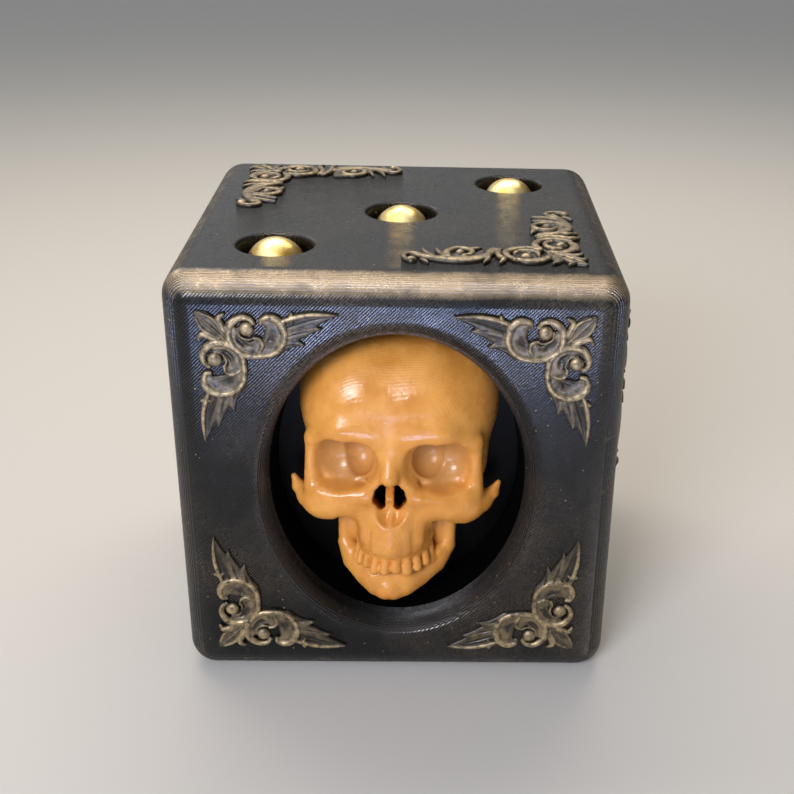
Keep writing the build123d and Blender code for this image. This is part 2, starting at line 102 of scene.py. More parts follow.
def give(material, names):
    """Paints solids with a material."""
    for name in names:
        nodes[name].data.materials.clear()
        nodes[name].data.materials.append(material)


def cells(width):
    """The scale of a pattern whose cells are that many millimetres wide, in round numbers."""
    return float(f"{1000 / width:.2g}")


def bands(width):
    """The scale at which a wave repeats over that width."""
    return 2 * pi / (20 * width)


def from_middle(material, place):
    """How far a place lies from the cube's middle along each axis."""
    centred = add(material, "VectorMath", {0: place, 1: (0, 0, half)}, operation="SUBTRACT")
    folded = add(material, "VectorMath", {0: centred}, operation="ABSOLUTE")
    return [add(material, "SeparateXYZ", {0: folded}, out=axis) for axis in "XYZ"]


# Black PLA is half glossy over its fine ridges. The bronze is a thin dry paint:
# it dulls the black to brown on broad places and covers the rounded edges.
black_print, shader, place = begin("black PLA print, dry-brushed bronze, painted edge light")
x, y, z = from_middle(black_print, place)
# the second largest distance from the cube's middle is large only along its edges
larger = add(black_print, "Math", {0: x, 1: y}, operation="MAXIMUM")
smaller = add(black_print, "Math", {0: x, 1: y}, operation="MINIMUM")
lower = add(black_print, "Math", {0: larger, 1: z}, operation="MINIMUM")
second = add(black_print, "Math", {0: smaller, 1: lower}, operation="MAXIMUM")
edge = add(black_print, "MapRange", {0: second, 1: wear_start, 2: wear_full})
# gaps in the worn paint, dusty patches the size of a thumb, and the grain of the plastic
paint_gaps = {"Vector": place, "Scale": cells(7.7), "Detail": 8, "Roughness": 0.75}
broken = add(black_print, "TexNoise", paint_gaps)
dust_patches = {"Vector": place, "Scale": cells(42), "Detail": 6, "Roughness": 0.6}
patches = add(black_print, "TexNoise", dust_patches)
grain = add(black_print, "TexNoise", {"Vector": place, "Scale": cells(0.63), "Detail": 2})
# painted light: edges that face up and to the front get more bronze, which stands in
# for the light that falls on them from above and in front
normal = add(black_print, "TexCoord", out="Normal")
facing_up = add(black_print, "SeparateXYZ", {0: normal}, out="Z")
facing_back = add(black_print, "SeparateXYZ", {0: normal}, out="Y")
upper = add(black_print, "MapRange", {0: facing_up, 1: 0.1, 2: 0.75, 3: 0.45, 4: 1.3})
frontal = add(black_print, "MapRange", {0: facing_back, 1: 0, 2: -0.2, 3: 0.5, 4: 1})
painted_light_share = add(black_print, "Math", {0: upper, 1: frontal}, operation="MULTIPLY")
edge_broken = add(black_print, "Math", {0: edge, 1: broken}, operation="MULTIPLY")
edge_wear_and_light = add(black_print, "Math", {0: edge_broken, 1: painted_light_share}, operation="MULTIPLY")
# edge bronze: real wear, raised on upper, front edges as a painted highlight
wear_and_painted_light = add(black_print, "MapRange", {0: edge_wear_and_light, 1: 0.24, 2: 0.62, 3: 0, 4: 0.8})
bronze = add(black_print, "Math", {0: wear_and_painted_light, 1: 0.7}, operation="MULTIPLY")
# specks of dust and paint, 0.3 mm across: some cells of many hold one
cell = add(black_print, "TexVoronoi", {"Vector": place, "Scale": cells(1.92)}, out="Color")
chosen = add(black_print, "MapRange", {0: cell, 1: 0.52, 2: 0.58})
near = add(black_print, "TexVoronoi", {"Vector": place, "Scale": cells(1.92)}, out="Distance")
dot = add(black_print, "MapRange", {0: near, 1: 0.09, 2: 0.05})
speck = add(black_print, "Math", {0: chosen, 1: dot}, operation="MULTIPLY")
gloss = add(black_print, "MapRange", {0: broken, 1: 0.3, 2: 0.7, 3: 0.14, 4: 0.36})
layers = add(black_print, "TexWave", {"Vector": place, "Scale": bands(layer_height)}, out="Fac",
             wave_type="BANDS", bands_direction="Y")
turned = add(black_print, "Mapping", {"Vector": place, "Rotation": (0, radians(-45), 0)})
slanting = {"Vector": turned, "Scale": bands(stroke_width), "Distortion": 0.6, "Detail": 1}
strokes = add(black_print, "TexWave", slanting, out="Fac", wave_type="BANDS", bands_direction="X")
depth = add(black_print, "SeparateXYZ", {0: place}, out="Y")
front = add(black_print, "MapRange", {0: depth, 1: -front_start, 2: -front_full})
flattened = add(black_print, "MapRange", {0: strokes, 1: 0, 2: 0.4})       # pressed flat by the nozzle
ridges = add(black_print, "Mix", {0: front, 2: layers, 3: flattened}, out=0)
# the dry brush only reaches the tops of the ridges, and leaves bare patches
dusting = add(black_print, "MapRange", {0: patches, 1: 0.46, 2: 0.66, 3: 0, 4: 0.8})
grainy = add(black_print, "MapRange", {0: grain, 1: 0.35, 2: 0.65, 3: 0.1, 4: 1})
tops = add(black_print, "MapRange", {0: ridges, 1: 0.5, 2: 1})
grained = add(black_print, "Math", {0: dusting, 1: grainy}, operation="MULTIPLY")
dusted = add(black_print, "Math", {0: grained, 1: tops}, operation="MULTIPLY")
black, dust, bronze_paint_and_highlight, fleck_paint = map(colour, ("#040405", "#64584a", "#b49e80", "#c8ab78"))
base = add(black_print, "Mix", {0: dusted, 6: black, 7: dust}, out=2, data_type="RGBA")
# bronze on the edges: real wear, plus a painted highlight on upper, front edges
worn_and_lit = add(black_print, "Mix", {0: wear_and_painted_light, 6: base, 7: bronze_paint_and_highlight}, out=2, data_type="RGBA")
speckled = add(black_print, "Mix", {0: speck, 6: worn_and_lit, 7: fleck_paint}, out=2, data_type="RGBA")
printed = add(black_print, "Bump", {"Strength": 1, "Distance": 0.2 * mm, "Height": ridges})
scuffs = {"Strength": 0.4, "Distance": 0.1 * mm, "Height": grain, "Normal": printed}
rough = add(black_print, "Bump", scuffs)
join(black_print, shader, {"Base Color": speckled, "Metallic": bronze, "Roughness": gloss, "Normal": rough})
shader.inputs["IOR"].default_value = 1.5
give(black_print, ["front_wall", "body_shell", "rear_frame", "lid"])

# ------------------------------------------------------------ window collar and backplate
# The recess behind the window and the oval plate that carries the skull: black
# PLA again, but smooth and unpainted, so that the skull stands before the dark.
black_satin, shader, place = begin("black PLA, satin")
shader.inputs["Base Color"].default_value = colour("#050506")
# painted shade: the specular level is set far below that of PLA, so that the recess looks as dark as its
# shade
shader.inputs["Specular IOR Level"].default_value = 0.08     # the recess throws little light back
cloud = add(black_satin, "TexNoise", {"Vector": place, "Scale": cells(1.43), "Detail": 3})
sheen = add(black_satin, "MapRange", {0: cloud, 3: 0.22, 4: 0.4})
fleck = add(black_satin, "Bump", {"Strength": 0.2, "Distance": 0.05 * mm, "Height": cloud})
join(black_satin, shader, {"Roughness": sheen, "Normal": fleck})
give(black_satin, ["skull_backplate", "window_collar"])

# ------------------------------------------------------------ pips
# Balls on short stems, glued into their seats. Their gold metallic paint is
# brushed on by hand, so it is bright with soft, slightly uneven strokes.
pips = [name for name in nodes if name.startswith("pip_")]
gold_paint, shader, place = begin("gold metallic paint")
flake = add(gold_paint, "TexNoise", {"Vector": place, "Scale": cells(3.8), "Detail": 6})
warm = add(gold_paint, "MapRange", {0: flake, 1: 0.3, 2: 0.7})
deep_gold, pale_gold = colour("#e2ae48"), colour("#fff0b4")
gold = add(gold_paint, "Mix", {0: warm, 6: deep_gold, 7: pale_gold}, out=2, data_type="RGBA")
shine = add(gold_paint, "MapRange", {0: flake, 3: 0.2, 4: 0.42})
brushed_on = add(gold_paint, "Bump", {"Strength": 0.35, "Distance": 0.15 * mm, "Height": flake})
join(gold_paint, shader, {"Base Color": gold, "Roughness": shine, "Normal": brushed_on})
shader.inputs["Metallic"].default_value = 0.9
give(gold_paint, pips)

# ------------------------------------------------------------ hinge rod and magnets
# A drawn steel rod held in the rear frame, and four nickel-plated disc magnets
# pressed into lid and frame. The rod has fine marks along it.
drawn_steel, shader, place = begin("drawn steel")
along = add(drawn_steel, "Mapping", {"Vector": place, "Scale": (cells(1.11), cells(1.11), cells(33))})
drawn = add(drawn_steel, "TexNoise", {"Vector": along, "Scale": 1, "Detail": 3})
join(drawn_steel, shader, {"Roughness": add(drawn_steel, "MapRange", {0: drawn, 3: 0.22, 4: 0.4})})
shader.inputs["Base Color"].default_value = colour("#b4b4b2")
shader.inputs["Metallic"].default_value = 1
give(drawn_steel, ["hinge_rod"])
nickel, shader, place = begin("nickel plating")
tarnish = add(nickel, "TexNoise", {"Vector": place, "Scale": cells(2.5), "Detail": 4})
join(nickel, shader, {"Roughness": add(nickel, "MapRange", {0: tarnish, 3: 0.1, 4: 0.28})})
shader.inputs["Base Color"].default_value = colour("#c9c6be")
shader.inputs["Metallic"].default_value = 1
give(nickel, [name for name in nodes if name.startswith("magnet_")])

# ------------------------------------------------------------ skull
# Half a skull, printed in bone colour, stained ochre and half glossy. It is
# carved from a field of blended volumes, because bone runs into bone softly
# where edit-mode operators would leave creases.
raised_line = 0.35 * mm      # round the plate, in front of its face
plate_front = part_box("skull_backplate")[0].y + raised_line
middle = Vector((0.42, plate_front / mm, half / mm))      # of the skull, on its plate
yaw = 0.12                   # the face is turned a little to its right
roll = 0.026                 # and its left side hangs a little lower
far = 50                     # mm, farther than any shape reaches


class Clay:
    """A block of space, in millimetres across, out of the face and up, to carve shapes in.

    Its field holds the distance of each point to the skin, below zero inside the shapes.
    """

    def __init__(self, low, high, pitch):
        self.low = np.array(low, np.float32)
        self.pitch = pitch
        counts = [int((b - a) / pitch) + 1 for a, b in zip(low, high)]
        steps = [np.arange(n, dtype=np.float32) * pitch + a for n, a in zip(counts, low)]
        self.x, self.y, self.z = np.meshgrid(*steps, indexing="ij")
        self.field = np.full(counts, far, np.float32)

    def egg(self, centre, radii):
        """Distance to an ellipsoid."""
        x, y, z = self.x - centre[0], self.y - centre[1], self.z - centre[2]
        a, b, c = radii
        near = np.sqrt((x / a) ** 2 + (y / b) ** 2 + (z / c) ** 2)
        steep = np.sqrt((x / a / a) ** 2 + (y / b / b) ** 2 + (z / c / c) ** 2) + 1e-6
        return near * (near - 1) / steep

    def rod(self, start, end, r_start, r_end):
        """Distance to a rod that tapers from one end to the other."""
        a, b = np.array(start, np.float32), np.array(end, np.float32)
        d = b - a
        x, y, z = self.x - a[0], self.y - a[1], self.z - a[2]
        t = np.clip((x * d[0] + y * d[1] + z * d[2]) / (d @ d), 0, 1)
        away = np.sqrt((x - t * d[0]) ** 2 + (y - t * d[1]) ** 2 + (z - t * d[2]) ** 2)
        return away - (r_start + t * (r_end - r_start))

    def put(self, shape, soft):
        """Adds a shape, blended over that many millimetres."""
        h = np.clip(0.5 + 0.5 * (self.field - shape) / soft, 0, 1)
        self.field = self.field + (shape - self.field) * h - soft * h * (1 - h)

    def cut(self, shape, soft):
        """Hollows a shape out, with its rim rounded over that many millimetres."""
        h = np.clip(0.5 - 0.5 * (self.field + shape) / soft, 0, 1)
        self.field = self.field + (-shape - self.field) * h + soft * h * (1 - h)

    def line(self, radii, path):
        """Distance in plan to a smooth line through points, and the radius there."""
        spacing, shortest, thinnest = 0.25, 0.5, 0.1
        p = np.array(path, np.float32)
        p = np.concatenate([2 * p[:1] - p[1:2], p, 2 * p[-1:] - p[-2:-1]])
        spots = []
        for a, b, c, d in zip(p, p[1:], p[2:], p[3:]):
            t = np.arange(0, 1, spacing / max(shortest, np.hypot(*(c - b))))[:, None]
            bend = 2 * a - 5 * b + 4 * c - d + t * (3 * b - a - 3 * c + d)
            spots.append(b + 0.5 * t * (c - a + t * bend))
        spots = np.concatenate(spots + [p[-2:-1]])
        run = np.concatenate([[0], np.cumsum(np.hypot(*np.diff(spots, axis=0).T))])
        sizes = np.interp(run / run[-1], np.linspace(0, 1, len(radii)), radii)
        away = np.full(self.x[:, 0].shape, far, np.float32)
        wide = np.full(away.shape, thinnest, np.float32)
        for spot, size in zip(spots, sizes):
            d = np.hypot(self.x[:, 0] - spot[0], self.z[:, 0] - spot[1])
            near = d - size < away - wide
            away = np.where(near, d, away)
            wide = np.where(near, size, wide)
        return away[:, None, :], wide[:, None, :]

    def bead(self, radii, *path, wall=0.3, crown=0.6):
        """Lays a strand with upright sides and a crowned top along a line."""
        away, wide = self.line(radii, path)
        up = np.maximum(self.y - wall, 0) * wide / np.minimum(wide, crown)
        self.put(np.hypot(away, up) - wide, soft=0.08)

    def groove(self, radii, *path, at=1.0):
        """Scoops a groove along a line."""
        away, wide = self.line(radii, path)
        self.cut(np.hypot(away, self.y - at) - wide, soft=0.1)

    def mesh(self, name, to_box):
        """The skin of the clay as a mesh, its points put in place by to_box.

        Each cell that the skin passes through gets one point, the mean of the places where it
        crosses the cell's edges. A face joins the four cells round each crossed edge.
        """
        least = 0.1          # of a cell, kept off its corners so that no face shrinks to nothing
        field = self.field
        inside = field < 0
        counts = tuple(n - 1 for n in field.shape)
        total = np.zeros(counts + (3,), np.float32)
        hits = np.zeros(counts, np.int32)
        corners = [(i, j, k) for i in (0, 1) for j in (0, 1) for k in (0, 1)]

        def part(corner):
            return field[tuple(slice(c, c + n) for c, n in zip(corner, counts))]

        for start in corners:
            for axis in range(3):
                if start[axis]:
                    continue
                end = tuple(1 if a == axis else start[a] for a in range(3))
                here, there = part(start), part(end)
                crossed = (here < 0) != (there < 0)
                share = here / np.where(here == there, 1, here - there)
                along = np.where(crossed, np.clip(share, least, 1 - least), 0)
                for a in range(3):
                    total[..., a] += np.where(crossed, start[a] + (along if a == axis else 0), 0)
                hits += crossed
        used = hits > 0
        number = np.full(counts, -1, np.int64)
        number[used] = np.arange(used.sum())
        spots = np.argwhere(used) + total[used] / hits[used][:, None]
        points = to_box(spots * self.pitch + self.low)
        mirrored = np.linalg.det(to_box(np.eye(3)) - to_box(np.zeros((1, 3)))) < 0
        quads = []
        for axis in range(3):
            b, c = [a for a in range(3) if a != axis]
            lower, upper = [slice(None)] * 3, [slice(None)] * 3
            lower[axis], upper[axis] = slice(0, -1), slice(1, None)
            edges = np.argwhere(inside[tuple(lower)] != inside[tuple(upper)])
            ends = [field.shape[b] - 1, field.shape[c] - 1]
            edges = edges[((edges[:, [b, c]] > 0) & (edges[:, [b, c]] < ends)).all(axis=1)]
            step_b, step_c = np.eye(3, dtype=int)[[b, c]]
            ring = [edges, edges - step_b, edges - step_b - step_c, edges - step_c]
            faces = np.stack([number[tuple(cell.T)] for cell in ring], 1)
            outward = inside[tuple(edges.T)] ^ (axis == 1) ^ mirrored
            faces[~outward] = faces[~outward][:, ::-1]
            quads.append(faces)
        quads = np.concatenate(quads)
        mesh = bpy.data.meshes.new(name)
        mesh.vertices.add(len(points))
        mesh.vertices.foreach_set("co", np.ascontiguousarray(points, np.float32).ravel())
        mesh.loops.add(4 * len(quads))
        mesh.loops.foreach_set("vertex_index", quads.ravel().astype(np.int32))
        mesh.polygons.add(len(quads))
        mesh.polygons.foreach_set("loop_start", np.arange(len(quads), dtype=np.int32) * 4)
        mesh.update()
        mesh.validate()
        piece = bpy.data.objects.new(name, mesh)
        bpy.context.scene.collection.objects.link(piece)
        mesh.shade_smooth()
        return piece


skull_pitch = 0.36        # mm, fine enough to hide the steps
skull = Clay((-27, -1, -34.5), (27, 20, 35), skull_pitch)
for side in (-1, 1):
    # braincase: two halves and the frontal bone
    skull.put(skull.egg((side * 4.5, 0, 12.6), (17.2, 15.6, 20.0)), 3)
    skull.put(skull.egg((side * 7.5, 3.0, 15.5), (13.0, 12.2, 14.0)), 4)
    skull.put(skull.egg((side * 14.8, -1.0, 17.5), (7.4, 9.5, 11.5)), 4)
    # wall behind the orbit, temples and the brow
    skull.put(skull.egg((side * 14.5, 4.4, 1.5), (6.2, 5.6, 8.5)), 2)
    skull.put(skull.egg((side * 12.5, 2.5, 5.0), (7.6, 10.0, 8.0)), 3)
    skull.put(skull.rod((side * 3.5, 13.8, 11.6), (side * 11, 13.8, 12.8), 2.0, 2.0), 4)
    skull.put(skull.rod((side * 11, 13.8, 12.8), (side * 18.0, 10.6, 9.4), 2.0, 1.8), 2.5)
    # side of the orbit down to the cheekbone
    skull.put(skull.rod((side * 18.6, 10.0, 9.0), (side * 18.7, 10.4, -2.5), 1.5, 2.0), 1.4)
    skull.put(skull.egg((side * 15.6, 10.4, -6.8), (5.6, 4.0, 4.8)), 2.2)
    skull.put(skull.egg((side * 10.0, 11.0, -6.0), (7.0, 4.6, 4.8)), 2.5)
    # floor of the orbit, and the bone between orbit and nose
    skull.put(skull.rod((side * 16.5, 12.2, -4.0), (side * 7.0, 14.2, -3.4), 1.6, 1.7), 2)
    skull.put(skull.rod((side * 3.6, 13.8, 9.0), (side * 4.6, 14.4, -4.0), 1.6, 1.6), 2)
    # start of the cheek arch, turned up to a blunt point
    skull.put(skull.rod((side * 16.5, 9.8, -8.0), (side * 20.2, 8.6, -6.8), 3.1, 2.6), 1.4)
    skull.put(skull.rod((side * 20.2, 8.6, -6.8), (side * 22.7, 7.2, -5.2), 2.5, 1.5), 0.8)
    skull.put(skull.rod((side * 22.7, 7.2, -5.2), (side * 23.9, 6.4, -3.0), 1.5, 0.7), 0.5)
# upper jaw, with the roots of the front teeth
skull.put(skull.egg((0, 8.5, -10.5), (9.4, 8.0, 9.0)), 2.5)
skull.put(skull.egg((0, 9.2, -16.8), (8.9, 7.6, 5.6)), 2.5)
skull.put(skull.rod((0, 12.5, -8), (0, 15.2, -15.5), 3.0, 2.6), 3)
for side in (-1, 1):
    skull.put(skull.rod((side * 6.4, 12.4, -6), (side * 6.2, 13.6, -15), 1.6, 1.1), 1.5)
    skull.put(skull.rod((side * 3.4, 15.4, -12.5), (side * 3.5, 15.4, -17), 0.7, 0.8), 1.2)
# bridge of the nose, flaring to the bone beside it
skull.put(skull.rod((0, 13.8, 9.6), (0, 16.6, 2.6), 1.8, 2.2), 2)
for side in (-1, 1):
    skull.put(skull.rod((side * 1.6, 13.6, 7.0), (side * 3.2, 14.4, 0.5), 1.4, 1.9), 2)
for side in (-1, 1):
    # orbits, wider towards the cheek, with a deeper hollow towards the nose
    skull.cut(skull.egg((side * 8.2, 17.4, 5.0), (5.4, 7.6, 5.9)), 1.2)
    skull.cut(skull.egg((side * 12.6, 16.0, 4.1), (6.1, 8.2, 6.7)), 1.0)
    skull.cut(skull.egg((side * 8.2, 10.4, 4.8), (4.0, 4.6, 4.8)), 0.5)
# nose opening: pear shaped, with two holes through to the dark
skull.cut(skull.rod((0.3, 18.2, -1.6), (0, 17.2, -6.6), 1.4, 3.8), 0.7)
for side in (-1, 1):
    for z, wide in ((-1.2, 0.8), (-2.6, 1.3), (-4.2, 1.5), (-5.8, 1.0)):
        start = (side * (wide + 0.95), 18.0, z + 1.6)
        end = (side * (wide + 0.8) - 2.4, -2.0, z - 7.0)       # slanting, as the face is turned
        skull.cut(skull.rod(start, end, wide, wide), 0.3)
skull.put(skull.rod((0, 13.6, -8.4), (0, 16.0, -10.4), 0.7, 0.5), 0.8)
# branch and body of the lower jaw, and the wall behind its hollows
jaw_bends = ((12.0, 5.8, -20.6), (10.2, 7.6, -24.8), (6.6, 10.0, -27.6), (3.6, 11.8, -29.3),
             (1.3, 12.6, -30.0))
for side in (-1, 1):
    skull.cut(skull.egg((side * 11.6, 12.5, -15.0), (2.3, 7.5, 5.6)), 0.8)
    skull.put(skull.rod((side * 12.9, 4.5, -9.0), (side * 12.2, 5.6, -21.0), 1.2, 1.8), 0.7)
    skull.put(skull.egg((side * 10.4, 3.2, -15.5), (3.6, 3.4, 8.0)), 0.8)
    # the chin sits a little to one side
    bends = [(side * x + 0.075 * (z + 20.6), y, z) for x, y, z in jaw_bends]
    for start, end in zip(bends, bends[1:]):
        skull.put(skull.rod(start, end, 2.1, 2.1), 0.2)
    skull.put(skull.rod((side * 10.0, 7.4, -22.6), (side * 4.2 - 0.6, 11.2, -27.0), 2.2, 2.5), 1.4)
skull.put(skull.egg((-0.5, 9.8, -26.4), (6.6, 4.4, 5.0)), 2)
skull.put(skull.egg((-0.7, 12.4, -29.0), (2.8, 2.8, 2.6)), 1.5)
# teeth: five a side around the arch, the middle four wider, of three lengths
tooth_count, tooth_step = 10, radians(16.2)
arch_radius, arch_middle = 9.2, 6.9
for count in range(tooth_count):
    from_centre = count - (tooth_count - 1) / 2
    turn = tooth_step * from_centre
    wide = 1.32 if abs(from_centre) < 2 else 1.15
    x, y = arch_radius * sin(turn), arch_middle + arch_radius * cos(turn)
    root, tip = (0.93 * x, y - 0.8, -18.4), (x, y, -22.6 + 0.4 * (count % 3))
    skull.put(skull.rod(root, tip, 0.7 * wide, wide), 0.4)
# flat back, a hair in front of the plate
skull.cut(skull.y - 0.02, 0.05)


def onto_plate(points):
    """From the clay's millimetres to the box's frame, with the face turned."""
    across = middle.x + points[:, 0] - yaw * points[:, 1]
    upwards = middle.z + points[:, 2] - roll * points[:, 0]
    return np.stack([across, middle.y - points[:, 1], upwards], 1) * mm


skull_piece = skull.mesh("skull_carving", onto_plate)
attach(skull_piece, "root")
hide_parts("skull")
# PLA printed like the box, stained a warm ochre in blotches, under a thin varnish:
# it shines in patches where the ridges are filled. The orbits are darkened as painted shade.
bone, shader, place = begin("PLA print stained as old bone")
blotches = add(bone, "TexNoise", {"Vector": place, "Scale": cells(8.3), "Detail": 6, "Roughness": 0.6})
warm = add(bone, "MapRange", {0: blotches, 1: 0.3, 2: 0.65})
deep_ochre, light_ochre, shade_grey_ochre = map(colour, ("#c98236", "#e4a04c", "#a08058"))
stain_and_shade = add(bone, "Mix", {0: warm, 6: deep_ochre, 7: light_ochre}, out=2, data_type="RGBA")
# painted shade: the orbits are coloured darker and greyer than the rest of the bone
for side in (-1, 1):
    orbit = Vector((middle.x + side * 10.6 - 1.6, middle.y - 9.5, middle.z + 4.5 - side * 0.3)) * mm
    away = add(bone, "VectorMath", {0: place, 1: orbit}, out="Value", operation="DISTANCE")
    orbit_painted_shade = add(bone, "MapRange", {0: away, 1: 8.5 * mm, 2: 5.0 * mm, 3: 0, 4: 0.5})
    stain_and_shade = add(bone, "Mix", {0: orbit_painted_shade, 6: stain_and_shade, 7: shade_grey_ochre}, out=2, data_type="RGBA")
varnish = add(bone, "MapRange", {0: blotches, 1: 0.35, 2: 0.65, 3: 0.12, 4: 0.4})
bone_layers = add(bone, "TexWave", {"Vector": place, "Scale": bands(layer_height), "Distortion": 0.3},
                  out="Fac", wave_type="BANDS", bands_direction="Y")
pores = add(bone, "TexNoise", {"Vector": place, "Scale": cells(1.11), "Detail": 3})
layered = add(bone, "Bump", {"Strength": 0.12, "Distance": 0.1 * mm, "Height": bone_layers})
porous = add(bone, "Bump", {"Strength": 0.35, "Distance": 0.12 * mm, "Height": pores, "Normal": layered})
join(bone, shader, {"Base Color": stain_and_shade, "Roughness": varnish, "Normal": porous})
skull_piece.data.materials.append(bone)

# ------------------------------------------------------------ corner scrolls
# Eight scrolls of leaves and volutes in black PLA, glued to their faces or printed
# in one with them, and dry-brushed with gold. Each is laid in strands of clay, as
# its crossing ribs could not be drawn with edit-mode operators.
def front_motif(pitch):
    """A corner scroll of the front, laid in one quarter of a face: one arm, and its mirror image."""
    c = Clay((10.5, -0.45, 10.5), (44, 2.1, 44), pitch)
    # ribbons of the two lobes, dished along their middle
    c.bead((0.9, 1.7, 2.3, 2.3, 1.9, 1.2), (27.4, 40.2), (26.2, 39.4), (25.7, 37.6), (25.9, 35.8),
           (27.2, 34.4), (29.6, 33.6), wall=0.5, crown=0.35)
    c.groove((0.5, 1.2, 1.5, 1.2, 0.6), (26.6, 39.4), (26.4, 37.6), (26.5, 36.0), (27.8, 34.9),
             (29.4, 34.4), at=1.9)
    c.bead((0.6, 1.1, 1.4, 1.4, 0.9), (34.2, 38.6), (34.1, 36.8), (32.9, 35.0), (30.8, 34.4), (29.5, 35.4),
           wall=0.6, crown=0.3)
    c.groove((0.4, 0.8, 0.9, 0.5), (33.9, 38.2), (33.2, 36.2), (31.8, 35.0), (30.2, 35.0), at=1.35)
    c.bead((0.2, 0.28, 0.3, 0.25), (33.4, 38.8), (33.0, 37.0), (31.4, 36.2), (29.8, 36.6), wall=0.7)
    c.bead((0.3, 0.38, 0.4, 0.3), (30.1, 36.7), (28.8, 36.3), (28.3, 35.0), (29.0, 33.4), wall=0.8)
    # rim: hook, round the bottom, up and over into the ball
    c.bead((0.5, 0.8, 0.9, 0.75, 0.7, 0.65, 0.65, 0.65, 0.7, 0.85, 0.9, 0.7, 0.5),
           (28.5, 39.8), (28.3, 40.7), (27.0, 41.2), (25.4, 40.9), (24.1, 39.5), (23.6, 37.0), (24.4, 34.6),
           (26.5, 32.9), (29.6, 32.4), (32.5, 32.9), (34.6, 34.8), (35.4, 37.2), (34.9, 39.6), (32.8, 41.1),
           (30.9, 40.9), (30.0, 39.9), wall=0.6, crown=0.75)
    c.put(c.egg((31.6, 0.2, 38.6), (1.7, 1.2, 1.7)), 0.1)
    c.groove((0.18, 0.2, 0.12), (33.3, 39.3), (31.9, 40.5), (30.4, 39.6), at=1.35)
    # serrated leaf along the arm: blade, two lower points, rib and veins
    c.bead((2.2, 2.3, 1.7, 0.9, 0.2), (24.6, 36.8), (22.0, 38.2), (19.0, 39.6), (16.0, 40.8),
           (12.8, 41.6), wall=0.35, crown=0.35)
    c.bead((1.9, 1.5, 0.9, 0.15), (22.6, 37.2), (20.0, 38.0), (17.8, 38.6), (15.6, 38.7), wall=0.4, crown=0.4)
    c.bead((2.0, 1.6, 1.0, 0.15), (26.0, 34.2), (24.0, 35.2), (21.8, 35.6), (19.4, 35.1), wall=0.4, crown=0.4)
    c.bead((0.45, 0.55, 0.5, 0.4, 0.15), (24.0, 40.4), (21.4, 41.3), (18.4, 41.9), (15.2, 42.0),
           (12.2, 41.8), wall=0.75)
    c.bead((0.3, 0.35, 0.4), (21.9, 40.2), (22.5, 41.0), (22.0, 42.0), wall=0.65)
    c.groove((0.2, 0.35, 0.3, 0.1), (24.0, 38.4), (21.0, 39.6), (17.6, 40.7), (14.0, 41.4), at=0.75)
    c.groove((0.15, 0.3, 0.12), (24.0, 36.6), (20.8, 37.6), (17.0, 38.5), at=0.85)
    c.groove((0.15, 0.3, 0.12), (25.4, 33.8), (23.0, 34.9), (20.4, 35.2), at=0.85)
    # fan in the corner
    c.bead((0.5, 1.5, 2.2, 1.9, 0.6), (36.0, 36.0), (37.6, 37.6), (39.0, 39.0), (40.4, 40.4), (41.9, 41.9),
           wall=0.35, crown=0.4)
    c.bead((0.3, 0.4, 0.3), (36.6, 37.4), (38.3, 40.6), (40.9, 42.0), wall=0.7)
    c.bead((0.25, 0.3, 0.15), (36.5, 36.5), (39.0, 39.0), (41.3, 41.3), wall=0.7)
    c.bead((0.4, 0.75, 0.7, 0.4), (35.9, 37.3), (36.8, 39.4), (37.3, 41.0), (36.2, 41.7), wall=0.6)
    return c


